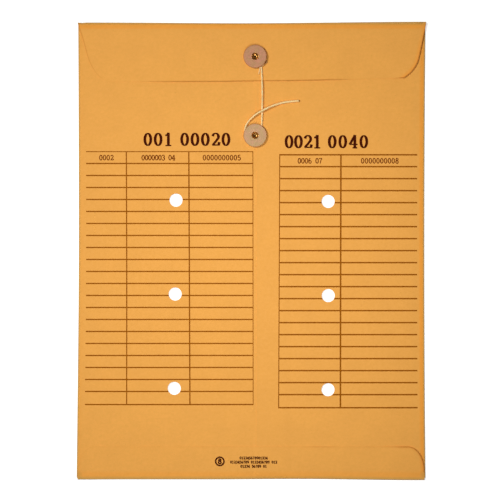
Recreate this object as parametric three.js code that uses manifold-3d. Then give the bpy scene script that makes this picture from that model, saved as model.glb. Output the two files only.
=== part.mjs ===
// A reusable string-and-button envelope of brown kraft paper, empty, flat on its front, flap closed.
// Millimetres, +Z up. Width runs along X, the top flap is toward +Y, and the buttons face up.
// The origin is under the middle of the envelope, on the surface that it lies on.

import * as THREE from "three";
import { mergeVertices } from "three/addons/utils/BufferGeometryUtils.js";
import Module from "manifold-3d";

// Paper and overall size

const width = 253;
const height = 332;
const paper = 0.15;
const gum = 0.05;
const bendSteps = 10;

// Back panels: the right one is gummed over the left one at the centre seam

const seamEdgeX = 3.6;
const seamOverlap = 19;
const seamRamp = 1.5;
const seamEdgeRoom = 0.3;
const seamGumInset = 2.5;
const throat = 3;

// Bottom flap, folded up over the back panels and gummed down

const bottomFlapDepth = 23.3;
const bottomFlapCorner = 13;
const bottomGumDepth = 14;
const bottomGumInset = 5;

// Top flap, folded down over the mouth, cut a little to the right of centre

const topFlapDepth = 41.5;
const topFlapInset = 1;
const topFlapShift = 0.8;
const topFlapTaper = 10.3;
const topFlapCorner = 18;

// Viewing holes, punched through front and back

const holeDiameter = 9.525;
const holeSpacingX = 111.1;
const holeTopDrop = 129.8;
const holePitchY = 68.4;
const holeRows = 3;

// Fasteners: a fibre button on a brass eyelet, with a backing washer inside

const buttonX = 2.55;
const buttonDrop = 25.2;
const buttonSpacing = 57.15;
const buttonDiameter = 17.2;
const buttonThickness = 1;
const buttonRim = 0.25;
const hubDiameter = 7.3;
const pressedRingWidth = 0.6;
const pressedRingDepth = 0.15;
const barrelDiameter = 3.2;
const eyeletWall = 0.25;
const funnelDiameter = 5.2;
const funnelDepth = 0.9;
const funnelProud = 0.1;
const rollDiameter = 6;
const rollHeight = 0.4;
const washerDiameter = 10;
const washerThickness = 0.25;

// Clearances

const barrelFit = 0.1;
const spinFit = 0.25;
const funnelFit = 0.15;
const hubGap = 0.15;
const pocketRoom = 0.35;
const flapRoom = 0.2;
const flapEdgeRoom = 0.2;
const droopRoom = 1.3;

// String

const stringDiameter = 1.2;
const stringFit = 0.15;
const stringSides = 8;
const stringStep = 3;
const loopSteps = 24;
const shortEndSteps = 4;
const pieceGap = 0.3;

// Heights above the table

const pocketGap = washerThickness + rollHeight + pocketRoom;
const backUnder = paper + pocketGap;
const backTop = backUnder + paper;
const seamUnder = backTop + gum;
const seamTop = seamUnder + paper;
const bottomFlapUnder = backTop + gum;
const bottomFlapTop = bottomFlapUnder + paper;
const flapUnder = seamTop + flapRoom + rollHeight + washerThickness;
const flapTop = flapUnder + paper;
const stringRoom = stringDiameter + 2 * stringFit;

// Radii of the folds, and the creases where the flat panels begin

const sideFoldRadius = backTop / 2;
const bottomFoldRadius = bottomFlapTop / 2;
const topFoldRadius = flapTop / 2;
const sideCrease = width / 2 - sideFoldRadius;
const bottomCrease = -height / 2 + bottomFoldRadius;
const topCrease = height / 2 - topFoldRadius;
const mouthY = topCrease - throat;
const seamOverlapX = seamEdgeX + seamOverlap;
const upperButtonY = height / 2 - buttonDrop;
const lowerButtonY = upperButtonY - buttonSpacing;
const holeTopY = height / 2 - holeTopDrop;
const topFlapWidth = width - 2 * topFlapInset;

// Materials

const kraft = { color: 0xe3a254, roughness: 0.85 };
const darkerKraft = { color: 0xdd9c4a, roughness: 0.85 };
const fibre = { color: 0xc0a080, roughness: 0.9 };
const brass = { color: 0xb08d4c, roughness: 0.35, metalness: 0.9 };
const cotton = { color: 0xf2dcae, roughness: 0.95 };
const dryGum = { color: 0xd9c08a, roughness: 0.5 };
const board = { color: 0x9c8464, roughness: 0.95 };

// Solids and booleans

const wasm = await Module();
wasm.setup();

const mergeDistance = 1e-4;

function toSolid(geometry) {
  const bare = geometry.index ? geometry.toNonIndexed() : geometry.clone();
  bare.deleteAttribute("normal");
  bare.deleteAttribute("uv");
  const merged = mergeVertices(bare, mergeDistance);
  return new wasm.Manifold(
    new wasm.Mesh({
      numProp: 3,
      vertProperties: new Float32Array(merged.attributes.position.array),
      triVerts: new Uint32Array(merged.index.array),
    }),
  );
}

function toGeometry(solid) {
  const mesh = solid.getMesh();
  const geometry = new THREE.BufferGeometry();
  geometry.setAttribute("position", new THREE.BufferAttribute(mesh.vertProperties, 3));
  geometry.setIndex(new THREE.BufferAttribute(mesh.triVerts, 1));
  return geometry;
}

function cutAway(geometry, tools) {
  return toGeometry(tools.reduce((left, tool) => left.subtract(toSolid(tool)), toSolid(geometry)));
}

function commonPart(first, second) {
  return toGeometry(toSolid(first).intersect(toSolid(second)));
}

function joined(first, second) {
  return toGeometry(toSolid(first).add(toSolid(second)));
}

// Flat and folded sheets

function polygon(points) {
  return new THREE.Shape(points.map(([u, v]) => new THREE.Vector2(u, v)));
}

// An outline in X and Y, as a slab from one height up.
function slab(outline, bottom, thickness) {
  const geometry = new THREE.ExtrudeGeometry(outline, {
    depth: thickness,
    bevelEnabled: false,
    curveSegments: bendSteps,
  });
  return geometry.translate(0, 0, bottom);
}

// A section in X and Z, drawn out along Y.
function alongY(section, fromY, toY) {
  const geometry = new THREE.ExtrudeGeometry(section, {
    depth: toY - fromY,
    bevelEnabled: false,
    curveSegments: bendSteps,
  });
  return geometry.rotateX(Math.PI / 2).translate(0, toY, 0);
}

// A section in Y and Z, drawn out along X.
function alongX(section, fromX, toX) {
  const geometry = new THREE.ExtrudeGeometry(section, {
    depth: toX - fromX,
    bevelEnabled: false,
    curveSegments: bendSteps,
  });
  const turn = new THREE.Matrix4().makeBasis(
    new THREE.Vector3(0, 1, 0),
    new THREE.Vector3(0, 0, 1),
    new THREE.Vector3(1, 0, 0),
  );
  return geometry.applyMatrix4(turn).translate(fromX, 0, 0);
}

function rectangle(left, right, bottom, top) {
  return polygon([
    [left, bottom],
    [right, bottom],
    [right, top],
    [left, top],
  ]);
}

// Half a ring of paper: the section of a fold that turns from the front panel to what lies over it.
function foldSection(centre, radius, side) {
  const shape = new THREE.Shape();
  const [bottom, top] = [-Math.PI / 2, Math.PI / 2];
  const clockwise = side < 0;
  shape.absarc(centre, radius, radius, bottom, top, clockwise);
  shape.absarc(centre, radius, radius - paper, top, bottom, !clockwise);
  return shape;
}

// The level of a sheet that lies over the seam: raised by the doubled paper, and sloping down beside it.
function overSeam(left, right, level) {
  const raised = level + gum + paper;
  return [
    [left, level],
    [seamEdgeX - seamRamp, level],
    [seamEdgeX, raised],
    [seamOverlapX, raised],
    [seamOverlapX + seamRamp, level],
    [right, level],
  ];
}

// A strip between two lines of points that run from left to right.
function between(lower, upper) {
  return polygon([...lower, ...[...upper].reverse()]);
}

function raisedBy(line, rise) {
  return line.map(([x, z]) => [x, z + rise]);
}

// A vertical cutter through every layer.
function punch(x, y, diameter) {
  const sides = 32;
  const drill = new THREE.CylinderGeometry(diameter / 2, diameter / 2, 4 * flapTop, sides);
  return drill.rotateX(Math.PI / 2).translate(x, y, 0);
}

function viewingHoles(sides) {
  const rows = Array.from({ length: holeRows }, (_, row) => holeTopY - row * holePitchY);
  return sides.flatMap((side) => rows.map((y) => punch((side * holeSpacingX) / 2, y, holeDiameter)));
}

// Paper pieces

function frontPanel() {
  const sheet = slab(rectangle(-sideCrease, sideCrease, bottomCrease, topCrease), 0, paper);
  return cutAway(sheet, viewingHoles([-1, 1]));
}

function sideFold(side) {
  return alongY(foldSection(side * sideCrease, sideFoldRadius, side), bottomCrease, mouthY);
}

const eyeletHole = punch(buttonX, lowerButtonY, barrelDiameter + 2 * barrelFit);
const panelFoot = bottomCrease + seamEdgeRoom;

function leftBackPanel() {
  const rightEdge = seamOverlapX - seamEdgeRoom;
  const sheet = slab(rectangle(-sideCrease, rightEdge, panelFoot, mouthY), backUnder, paper);
  return cutAway(sheet, [...viewingHoles([-1]), eyeletHole]);
}

function rightBackPanel() {
  const underside = [
    [seamEdgeX, seamUnder],
    [seamOverlapX, seamUnder],
    [seamOverlapX + seamRamp, backUnder],
    [sideCrease, backUnder],
  ];
  const sheet = alongY(between(underside, raisedBy(underside, paper)), panelFoot, mouthY);
  return cutAway(sheet, [...viewingHoles([1]), eyeletHole]);
}

function seamGum() {
  const left = seamEdgeX + seamGumInset;
  const right = seamOverlapX - seamGumInset;
  return slab(rectangle(left, right, panelFoot + seamGumInset, mouthY - seamGumInset), backTop, gum);
}

function bottomFlap() {
  const underside = overSeam(-sideCrease, sideCrease, bottomFlapUnder);
  const freeEdge = -height / 2 + bottomFlapDepth;
  const sheet = alongY(between(underside, raisedBy(underside, paper)), bottomCrease, freeEdge);
  const outline = new THREE.Shape();
  outline.moveTo(-sideCrease, bottomCrease);
  outline.lineTo(sideCrease, bottomCrease);
  const [inner, lower] = [sideCrease - bottomFlapCorner, freeEdge - bottomFlapCorner];
  outline.absarc(inner, lower, bottomFlapCorner, 0, Math.PI / 2);
  outline.absarc(-inner, lower, bottomFlapCorner, Math.PI / 2, Math.PI);
  return commonPart(sheet, slab(outline, 0, flapTop));
}

function bottomGum() {
  const [left, right] = [-sideCrease + bottomFlapCorner, sideCrease - bottomFlapCorner];
  const lower = [
    [left, backTop],
    [seamEdgeX, backTop],
    [seamEdgeX, seamTop],
    [seamOverlapX, seamTop],
    [seamOverlapX + seamRamp, backTop],
    [right, backTop],
  ];
  const upper = overSeam(left, right, bottomFlapUnder);
  const top = -height / 2 + bottomFlapDepth - bottomGumInset;
  return alongY(between(lower, upper), top - bottomGumDepth, top);
}

function bottomFold() {
  const section = foldSection(bottomCrease, bottomFoldRadius, -1);
  return alongX(section, -sideCrease, sideCrease);
}

const topFlapLeft = topFlapShift - topFlapWidth / 2;
const topFlapRight = topFlapShift + topFlapWidth / 2;

function topFold() {
  return alongX(foldSection(topCrease, topFoldRadius, 1), topFlapLeft, topFlapRight);
}

function topFlap() {
  const freeEdge = height / 2 - topFlapDepth;
  const slant = Math.atan2(topFlapTaper, topCrease - freeEdge);
  const turn = Math.PI / 2 - slant;
  const setback = topFlapCorner * Math.tan(turn / 2);
  const [left, right] = [
    topFlapLeft + topFlapTaper + setback,
    topFlapRight - topFlapTaper - setback,
  ];
  const centreY = freeEdge + topFlapCorner;
  const outline = new THREE.Shape();
  outline.moveTo(topFlapRight, topCrease);
  outline.lineTo(topFlapLeft, topCrease);
  outline.absarc(left, centreY, topFlapCorner, Math.PI + slant, 1.5 * Math.PI);
  outline.absarc(right, centreY, topFlapCorner, 1.5 * Math.PI, 2 * Math.PI - slant);
  // Below the washer the flap droops, until its free edge all but rests on the back panels.
  const washerFoot = upperButtonY - washerDiameter / 2;
  const underside = [
    [freeEdge, seamTop + flapEdgeRoom],
    [washerFoot - droopRoom, flapUnder],
    [topCrease, flapUnder],
  ];
  const sheet = alongX(between(underside, raisedBy(underside, paper)), topFlapLeft, topFlapRight);
  const shaped = commonPart(sheet, slab(outline, 0, 2 * flapTop));
  return cutAway(shaped, [punch(buttonX, upperButtonY, barrelDiameter + 2 * barrelFit)]);
}

// Fasteners, turned about their own axis. Heights are from the face of the paper that the button is on.

const turnedSides = 48;

// An arc of a profile, from one direction to another. They are in quarter turns: 0 is outward, 1 is up.
function corner(r, z, radius, start, end, steps = 3) {
  return Array.from({ length: steps + 1 }, (_, step) => {
    const angle = ((start + ((end - start) * step) / steps) * Math.PI) / 2;
    return [r + radius * Math.cos(angle), z + radius * Math.sin(angle)];
  });
}

function turned(profile) {
  const loop = [...profile, profile[0]].map(([r, z]) => new THREE.Vector2(r, z));
  return new THREE.LatheGeometry(loop, turnedSides).rotateX(Math.PI / 2);
}

function button() {
  const [bore, hub, rim] = [barrelDiameter / 2 + spinFit, hubDiameter / 2, buttonDiameter / 2];
  const [under, top] = [stringRoom, stringRoom + buttonThickness];
  const sink = funnelDiameter / 2 + funnelFit;
  return turned([
    [bore, hubGap],
    [hub, hubGap],
    [hub, under],
    ...corner(rim - buttonRim, under + buttonRim, buttonRim, -1, 0),
    ...corner(rim - buttonRim, top - buttonRim, buttonRim, 0, 1),
    [hub + pressedRingWidth / 2, top],
    [hub, top - pressedRingDepth],
    [hub - pressedRingWidth / 2, top],
    [sink, top],
    [bore, top - funnelDepth],
  ]);
}

// The barrel opens into a funnel in the button's face, and its other end is rolled over the washer.
function eyelet(layers) {
  const [bore, barrel, mouth] = [barrelDiameter / 2 - eyeletWall, barrelDiameter / 2, funnelDiameter / 2];
  const top = stringRoom + buttonThickness + funnelProud;
  const neck = top - funnelProud - funnelDepth;
  const rollTop = -layers - washerThickness;
  const rollEdge = rollHeight / 2;
  const lip = funnelProud / 2;
  return turned([
    [bore, rollTop - rollEdge],
    ...corner(bore + rollEdge, rollTop - rollEdge, rollEdge, -2, -1),
    ...corner(rollDiameter / 2 - rollEdge, rollTop - rollEdge, rollEdge, -1, 1, 6),
    [barrel, rollTop],
    [barrel, neck],
    ...corner(mouth - lip, top - lip, lip, 0, 1),
    [mouth - eyeletWall, top],
    [bore, neck],
  ]);
}

function washer(layers) {
  const [bore, edge] = [barrelDiameter / 2 + barrelFit, washerDiameter / 2];
  return turned([
    [bore, -layers - washerThickness],
    [edge, -layers - washerThickness],
    [edge, -layers],
    [bore, -layers],
  ]);
}

// String

function stringSection() {
  const corners = Array.from({ length: stringSides }, (_, corner) => {
    const angle = (2 * Math.PI * (corner + 0.5)) / stringSides;
    return [(stringDiameter / 2) * Math.cos(angle), (stringDiameter / 2) * Math.sin(angle)];
  });
  return polygon(corners);
}

function routeThrough(points) {
  return new THREE.CatmullRomCurve3(points.map((point) => new THREE.Vector3(...point)));
}

function stringAlong(points, steps) {
  const path = routeThrough(points);
  const count = steps ?? Math.ceil(path.getLength() / stringStep);
  return new THREE.ExtrudeGeometry(stringSection(), { steps: count, extrudePath: path });
}

const degrees = Math.PI / 180;
const turnRadius = hubDiameter / 2 + stringDiameter / 2 + 2 * stringFit;
const lift = stringRoom / 2;

// Where each button's axis meets the face of the paper. The string's points are counted from these two.
const upperSeat = [buttonX, upperButtonY, flapTop];
const lowerSeat = [buttonX, lowerButtonY, seamTop];

function from(seat, offsets) {
  return offsets.map(([x, y, z]) => [seat[0] + x, seat[1] + y, seat[2] + z]);
}

function aroundAxis(radius, angle) {
  return [radius * Math.cos(angle), radius * Math.sin(angle), lift];
}

// The tie: once round the upper hub, from the top of the knot to its left side.
const tieAngles = { first: -12, last: 272, step: 15.8 };
const tieOffsets = [[4.6, -4.05, lift]];
for (let angle = tieAngles.first; angle <= tieAngles.last; angle += tieAngles.step) {
  tieOffsets.push(aroundAxis(turnRadius, angle * degrees));
}
tieOffsets.push([2.7, -4.95, lift]);
const tieRoute = from(upperSeat, tieOffsets);

// The run: from the knot, over the edge of the top flap, straight to the lower button.
const runRoute = [
  ...from(upperSeat, [
    [4.45, -7.25, lift],
    [4.45, -9.8, 0.69],
    [4.5, -13.3, 0.6],
    [4.53, -17.3, 0.5],
  ]),
  ...from(lowerSeat, [
    [4.55, 31.35, 1.3],
    [4.58, 20.35, 1.04],
    [4.6, 11.35, 0.82],
    [4.6, 8.85, lift],
    [4.6, 6.65, lift],
  ]),
];

// The turn: round the lower hub, opening outward, clockwise as seen from above.
const turnGrowth = 3;
const turnSweep = 180 * degrees;
const turnPoints = 12;
const turnOffsets = [
  [4.6, 6.65 - pieceGap, lift],
  [4.58, 4.75, lift],
];
for (let point = 1; point < turnPoints; point += 1) {
  const share = point / turnPoints;
  turnOffsets.push(aroundAxis(turnRadius + turnGrowth * share * share, -turnSweep * share));
}
turnOffsets.push([-7.62, 1.55, lift], [-7.65, 3.15, lift], [-7.65, 4.75, lift]);
const turnRoute = from(lowerSeat, turnOffsets);

// The tail: from the lower button up, over the run in a low hump, and out to its bare end.
const tailRoute = from(lowerSeat, [
  [-7.63, 4.75 + pieceGap, lift],
  [-7.15, 6.55, lift],
  [-5.65, 9.15, 1.0],
  [-3.15, 11.75, 1.5],
  [-0.35, 14.55, 2.1],
  [5.25, 18.15, 2.6],
  [12.15, 21.55, 2.05],
  [19.15, 23.95, 1.25],
  [25.35, 24.95, 0.8],
  [32.15, 25.25, 0.7],
]);

// The knot: a flattened lump at the edge of the upper button, and its short cut end beside the run.
const knotOffset = [4.95, -5.75, lift];
const knotHalfLength = 1.7;
const knotHalfWidth = 1.2;
const knotTilt = -18 * degrees;
const shortEndRoute = from(upperSeat, [
  [4.05, -5.9, lift],
  [3.15, -7.6, lift],
  [2.7, -9.6, lift],
  [2.6, -11.5, lift],
]);

function knot() {
  const lump = new THREE.SphereGeometry(1, 16, 10);
  lump.rotateX(Math.PI / 2).scale(knotHalfLength, knotHalfWidth, stringDiameter / 2);
  lump.rotateZ(knotTilt).translate(...from(upperSeat, [knotOffset])[0]);
  return joined(lump, stringAlong(shortEndRoute, shortEndSteps));
}

// The least free space between stretches of one string that aren't neighbours along it.
function leastGap(points) {
  const path = routeThrough(points);
  const count = 200;
  const places = path.getSpacedPoints(count);
  const spacing = path.getLength() / count;
  const apart = Math.ceil((4 * stringDiameter) / spacing);
  let least = Infinity;
  for (let i = 0; i < places.length; i += 1) {
    for (let j = i + apart; j < places.length; j += 1) {
      least = Math.min(least, places[i].distanceTo(places[j]) - stringDiameter);
    }
  }
  return least;
}

// Assembly

const envelope = new THREE.Group();

function add(name, geometry, finish, place = [0, 0, 0]) {
  const mesh = new THREE.Mesh(geometry, new THREE.MeshStandardMaterial(finish));
  mesh.name = name;
  mesh.position.set(...place);
  envelope.add(mesh);
}

add("front_panel", frontPanel(), kraft);
add("left_fold", sideFold(-1), kraft);
add("right_fold", sideFold(1), kraft);
add("back_panel_left", leftBackPanel(), kraft);
add("back_panel_right", rightBackPanel(), kraft);
add("centre_seam_gum", seamGum(), dryGum);
add("bottom_fold", bottomFold(), kraft);
add("bottom_flap", bottomFlap(), kraft);
add("bottom_flap_gum", bottomGum(), dryGum);
add("top_fold", topFold(), kraft);
add("top_flap", topFlap(), darkerKraft);

const fasteners = [
  { name: "upper", seat: upperSeat, layers: flapTop - flapUnder },
  { name: "lower", seat: lowerSeat, layers: seamTop - backUnder },
];
for (const { name, seat, layers } of fasteners) {
  add(`${name}_button`, button(), fibre, seat);
  add(`${name}_eyelet`, eyelet(layers), brass, seat);
  add(`${name}_backing_washer`, washer(layers), board, seat);
}

add("string_tie", stringAlong(tieRoute, loopSteps), cotton);
add("string_knot", knot(), cotton);
add("string_run", stringAlong(runRoute), cotton);
add("string_turn", stringAlong(turnRoute, loopSteps), cotton);
add("string_tail", stringAlong(tailRoute), cotton);

const routes = { string_tie: tieRoute, string_run: runRoute, string_turn: turnRoute, string_tail: tailRoute };
for (const [name, route] of Object.entries(routes)) {
  const length = routeThrough(route).getLength();
  console.log(`${name}: ${length.toFixed(1)} mm long`);
}
for (const name of ["string_tie", "string_turn"]) {
  console.log(`${name}: least gap to itself ${leastGap(routes[name]).toFixed(2)} mm`);
}

export default envelope;
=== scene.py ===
# The looks of a kraft paper string-and-button envelope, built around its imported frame.
# Lengths here are in millimetres, and become metres when a mesh is made.

import math

import bpy
import numpy as np
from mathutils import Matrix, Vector, noise
from mathutils.geometry import delaunay_2d_cdt
from numpy.linalg import norm


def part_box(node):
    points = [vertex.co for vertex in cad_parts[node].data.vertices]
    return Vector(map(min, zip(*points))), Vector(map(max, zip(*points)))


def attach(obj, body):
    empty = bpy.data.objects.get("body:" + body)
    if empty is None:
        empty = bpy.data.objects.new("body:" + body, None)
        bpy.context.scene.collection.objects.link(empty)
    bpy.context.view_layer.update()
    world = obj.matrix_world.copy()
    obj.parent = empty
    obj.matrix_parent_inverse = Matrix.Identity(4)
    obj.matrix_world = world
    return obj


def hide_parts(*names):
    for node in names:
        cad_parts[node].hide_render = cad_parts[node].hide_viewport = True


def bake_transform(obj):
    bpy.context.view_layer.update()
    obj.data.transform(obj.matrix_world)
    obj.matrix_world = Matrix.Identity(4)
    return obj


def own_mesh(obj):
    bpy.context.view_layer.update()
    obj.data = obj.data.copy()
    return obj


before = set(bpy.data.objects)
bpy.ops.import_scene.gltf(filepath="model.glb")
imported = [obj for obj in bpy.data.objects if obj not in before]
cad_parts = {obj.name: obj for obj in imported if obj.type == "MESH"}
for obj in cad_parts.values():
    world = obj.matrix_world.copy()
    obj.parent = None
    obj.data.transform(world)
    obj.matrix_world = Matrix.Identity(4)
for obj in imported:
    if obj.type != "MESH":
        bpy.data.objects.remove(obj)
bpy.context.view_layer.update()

MM = 0.001


def box_mm(node):
    low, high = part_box(node)
    return np.array(low) / MM, np.array(high) / MM


def middle_mm(node):
    return sum(box_mm(node)) / 2


# Sizes that come from the frame

(_, BOTTOM_CREASE, _), (SIDE_CREASE, TOP_CREASE, PAPER) = box_mm("front_panel")
_, (SEAM_END, MOUTH, BACK_TOP) = box_mm("back_panel_left")
(SEAM_EDGE, _, _), (_, _, SEAM_TOP) = box_mm("back_panel_right")
gum_low, gum_high = box_mm("centre_seam_gum")
GUM = gum_high[2] - gum_low[2]
HALF_WIDTH = box_mm("right_fold")[1][0]
HALF_HEIGHT = box_mm("top_fold")[1][1]
FLAP_TOP = box_mm("top_flap")[1][2]
BUTTON_TOP = box_mm("upper_button")[1][2] - FLAP_TOP
EYELET_TOP = box_mm("upper_eyelet")[1][2] - FLAP_TOP
BUTTON_X, UPPER_Y, _ = middle_mm("upper_button")
LOWER_Y = middle_mm("lower_button")[1]

UPPER_SEAT = np.array([BUTTON_X, UPPER_Y, FLAP_TOP])
LOWER_SEAT = np.array([BUTTON_X, LOWER_Y, SEAM_TOP])


def add_object(name, data):
    made = bpy.data.objects.new(name, data)
    bpy.context.scene.collection.objects.link(made)
    return made


# Camera: straight above, a little off the middle as in the photograph

CAMERA_HEIGHT = 1200.0
VIEW_WIDTH = 363.6
VIEW_CENTRE = (-1.16, 0.51)
SENSOR = 36.0


def make_camera():
    data = bpy.data.cameras.new("camera")
    data.sensor_width = SENSOR
    data.lens = SENSOR * CAMERA_HEIGHT / VIEW_WIDTH
    data.clip_start, data.clip_end = 0.05, 20
    camera = add_object("camera", data)
    camera.location = Vector((*VIEW_CENTRE, CAMERA_HEIGHT)) * MM
    bpy.context.scene.camera = camera


make_camera()


# Shader nodes

class Shader:
    """A material whose nodes are added one by one. A socket given as a value is linked.

    Its patterns lie on the flat sheet that a mesh was bent from, or else in the object's space.
    """

    def __init__(self, name, on_sheet=False):
        self.material = bpy.data.materials.new(name)
        self.material.use_nodes = True
        self.tree = self.material.node_tree
        self.tree.nodes.clear()
        self.output = self.tree.nodes.new("ShaderNodeOutputMaterial")
        if on_sheet:
            self.place = self.node("UVMap", uv_map="sheet").outputs["UV"]
        else:
            self.place = self.node("TexCoord").outputs["Object"]

    def node(self, kind, inputs=(), **properties):
        made = self.tree.nodes.new("ShaderNode" + kind)
        for key, value in properties.items():
            setattr(made, key, value)
        for key, value in dict(inputs).items():
            self.put(made.inputs[key], value)
        return made

    def put(self, socket, value):
        if isinstance(value, bpy.types.NodeSocket):
            self.tree.links.new(value, socket)
        elif socket.type == "RGBA" and len(value) == 3:
            socket.default_value = (*value, 1)
        else:
            socket.default_value = value

    def math(self, operation, a, b):
        return self.node("Math", {0: a, 1: b}, operation=operation).outputs[0]

    def remap(self, value, low, high, to_low=0.0, to_high=1.0):
        inputs = {"Value": value, "From Min": low, "From Max": high}
        inputs.update({"To Min": to_low, "To Max": to_high})
        return self.node("MapRange", inputs, interpolation_type="SMOOTHSTEP").outputs[0]

    def noise(self, scale, detail=2.0, roughness=0.5, stretch=1.0, turn=0.0, distortion=0.0):
        mapping = {"Vector": self.place, "Scale": (1, stretch, 1), "Rotation": (0, 0, turn)}
        inputs = {"Vector": self.node("Mapping", mapping).outputs[0], "Scale": scale, "Detail": detail}
        inputs.update({"Roughness": roughness, "Distortion": distortion})
        return self.node("TexNoise", inputs).outputs["Fac"]

    def mix(self, factor, a, b, blend="MIX"):
        made = self.node("Mix", data_type="RGBA", blend_type=blend)
        for place, value in ((0, factor), (6, a), (7, b)):
            self.put(made.inputs[place], value)
        return made.outputs[2]

    def over(self, under, pattern, low, high, share, upper):
        """The upper tone laid over the under one, by up to a share, as the pattern goes from low to high."""
        return self.mix(self.remap(pattern, low, high, 0, share), under, upper)

    def tinted_by(self, under, key, tint):
        """A tone tinted by the share that the mesh holds at each vertex under this key."""
        share = self.node("Attribute", attribute_name=key).outputs["Fac"]
        return self.mix(share, under, tint, "MULTIPLY")

    def finish(self, tone, roughness, bump=None, specular=0.5, metallic=0.0, sheen=0.0):
        """The finished material. bump is the height, the strength and the depth of its relief."""
        inputs = {"Base Color": tone, "Roughness": roughness, "Metallic": metallic}
        inputs.update({"Specular IOR Level": specular, "Sheen Weight": sheen})
        if bump:
            height, strength, depth = bump
            relief = {"Height": height, "Strength": strength, "Distance": depth * MM}
            inputs["Normal"] = self.node("Bump", relief).outputs[0]
        surface = self.node("BsdfPrincipled", inputs)
        self.tree.links.new(surface.outputs[0], self.output.inputs["Surface"])
        return self.material


def colour(*levels):
    """An sRGB colour of 0 to 255 as linear values."""
    def linear(level):
        share = level / 255
        return share / 12.92 if share <= 0.04045 else ((share + 0.055) / 1.055) ** 2.4
    return [linear(level) for level in levels]


def tinted(base, tint):
    """A colour times one share, or times a share for each of its parts."""
    return np.minimum(np.array(base) * tint, 1)


# Painted light and shade at the folds: a deeper orange band beside each fold, where light catches its
# rounding, and olive brown shade on the fold's rim, where it curves away.
FOLD_BAND_LIGHT_TINT = (1.04, 0.87, 0.5)
FOLD_RIM_SHADE_TINT = (0.76, 0.88, 1.05)
# Painted shade: a brown line along the cut edges of the flaps, for the shadow under each lifted edge.
CUT_EDGE_SHADE_TINT = (0.64, 0.43, 0.1)


def kraft_material(name, base):
    """Unbleached paper: cloudy formation, crossing fibres, a few dark shives, and a soft tooth."""
    shader = Shader(name, on_sheet=True)
    clouds = shader.noise(55, 3, 0.6)
    formation = shader.noise(420, 4, 0.65)
    grain_runs = shader.noise(160, 3, stretch=9)
    fibres = [
        shader.noise(900, 1, stretch=7, turn=turn, distortion=0.4)
        for turn in (0.3, 1.35, 2.3)
    ]
    crossing = shader.math("MAXIMUM", fibres[0], shader.math("MAXIMUM", *fibres[1:]))
    hollows = shader.math("MINIMUM", fibres[0], shader.math("MINIMUM", *fibres[1:]))
    shives = shader.noise(700, 0, stretch=2.2, turn=0.8)

    toned = shader.over(tinted(base, 0.975), clouds, 0.3, 0.7, 1, tinted(base, 1.02))
    for pattern, low, high, share, tone in (
        (formation, 0.3, 0.72, 0.34, 0.86),
        (grain_runs, 0.45, 0.75, 0.16, 0.86),
        (crossing, 0.62, 0.78, 0.55, 1.07),
        (hollows, 0.36, 0.22, 0.5, 0.86),
        (shives, 0.79, 0.83, 0.22, 0.5),
    ):
        toned = shader.over(toned, pattern, low, high, share, tinted(base, tone))
    # Painted light and shade: a deeper band beside each fold, olive shade on fold rims and along the seam's
    # edge, and brown shade along the flaps' cut edges.
    toned = shader.tinted_by(toned, "fold_band", FOLD_BAND_LIGHT_TINT)
    toned = shader.tinted_by(toned, "fold_rim", FOLD_RIM_SHADE_TINT)
    toned = shader.tinted_by(toned, "cut_edge", CUT_EDGE_SHADE_TINT)

    coarse = shader.math("MULTIPLY", formation, 0.6)
    tooth = shader.math("ADD", coarse, shader.math("MULTIPLY", crossing, 0.5))
    roughness = shader.remap(formation, 0.2, 0.8, 0.68, 0.86)
    return shader.finish(toned, roughness, (tooth, 0.35, 0.06), specular=0.4)


def mottled_material(name, base, darker, scale, roughness, depth):
    """Two tones mixed by noise, with a finer relief."""
    shader = Shader(name)
    toned = shader.over(darker, shader.noise(scale, 4, 0.65), 0.3, 0.7, 1, base)
    fine = shader.noise(scale * 4)
    roughness = shader.remap(fine, 0.2, 0.8, roughness - 0.08, roughness + 0.08)
    return shader.finish(toned, roughness, (fine, 0.5, depth))


# The rim of a punched disc is tinted darker brown, over flecks of pink and of khaki.
DISC_RIM_TINT = (0.84, 0.66, 0.46)
PINK_TINT = (1.03, 0.93, 0.97)
KHAKI_TINT = (0.93, 0.97, 0.84)


def fibre_material(name, base):
    """Pressed vulcanised fibre: pinkish and khaki flecks over grey tan, and short pale fibres."""
    shader = Shader(name)
    patches = shader.noise(330, 3, 0.6)
    flecks = shader.noise(1100, 3, 0.7)
    hairs = shader.noise(900, 1, stretch=6, turn=0.6, distortion=0.8)
    toned = shader.over(tinted(base, KHAKI_TINT), patches, 0.38, 0.62, 1, tinted(base, PINK_TINT))
    toned = shader.over(toned, flecks, 0.42, 0.72, 0.45, tinted(base, 0.62))
    toned = shader.over(toned, hairs, 0.6, 0.75, 0.5, tinted(base, 1.3))
    toned = shader.tinted_by(toned, "disc_rim", DISC_RIM_TINT)
    roughness = shader.remap(flecks, 0.2, 0.8, 0.72, 0.9)
    return shader.finish(toned, roughness, (flecks, 0.55, 0.08), specular=0.3)


def brass_material(name, bright, tarnished):
    shader = Shader(name)
    tarnish = shader.noise(600, 4, 0.7)
    scratches = shader.noise(1500, stretch=8)
    toned = shader.over(bright, tarnish, 0.35, 0.7, 1, tarnished)
    roughness = shader.remap(tarnish, 0.3, 0.7, 0.22, 0.4)
    return shader.finish(toned, roughness, (scratches, 0.25, 0.03), metallic=1.0)


def cotton_material(name, dark, light, soiled):
    shader = Shader(name, on_sheet=True)
    strands = shader.noise(1400, stretch=0.18)
    toned = shader.over(dark, strands, 0.3, 0.7, 1, light)
    toned = shader.over(toned, shader.noise(120, 3), 0.4, 0.8, 0.25, soiled)
    return shader.finish(toned, 0.92, (strands, 0.6, 0.06), specular=0.2, sheen=0.15)


def ink_material(name, dark, light):
    """Printing ink sunk into the paper, with a tone that varies as if it followed the fibres."""
    shader = Shader(name)
    wear = shader.noise(900, 4, 0.7)
    toned = shader.over(dark, wear, 0.35, 0.75, 1, light)
    return shader.finish(toned, shader.remap(wear, 0.2, 0.8, 0.7, 0.85), specular=0.05)


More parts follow.
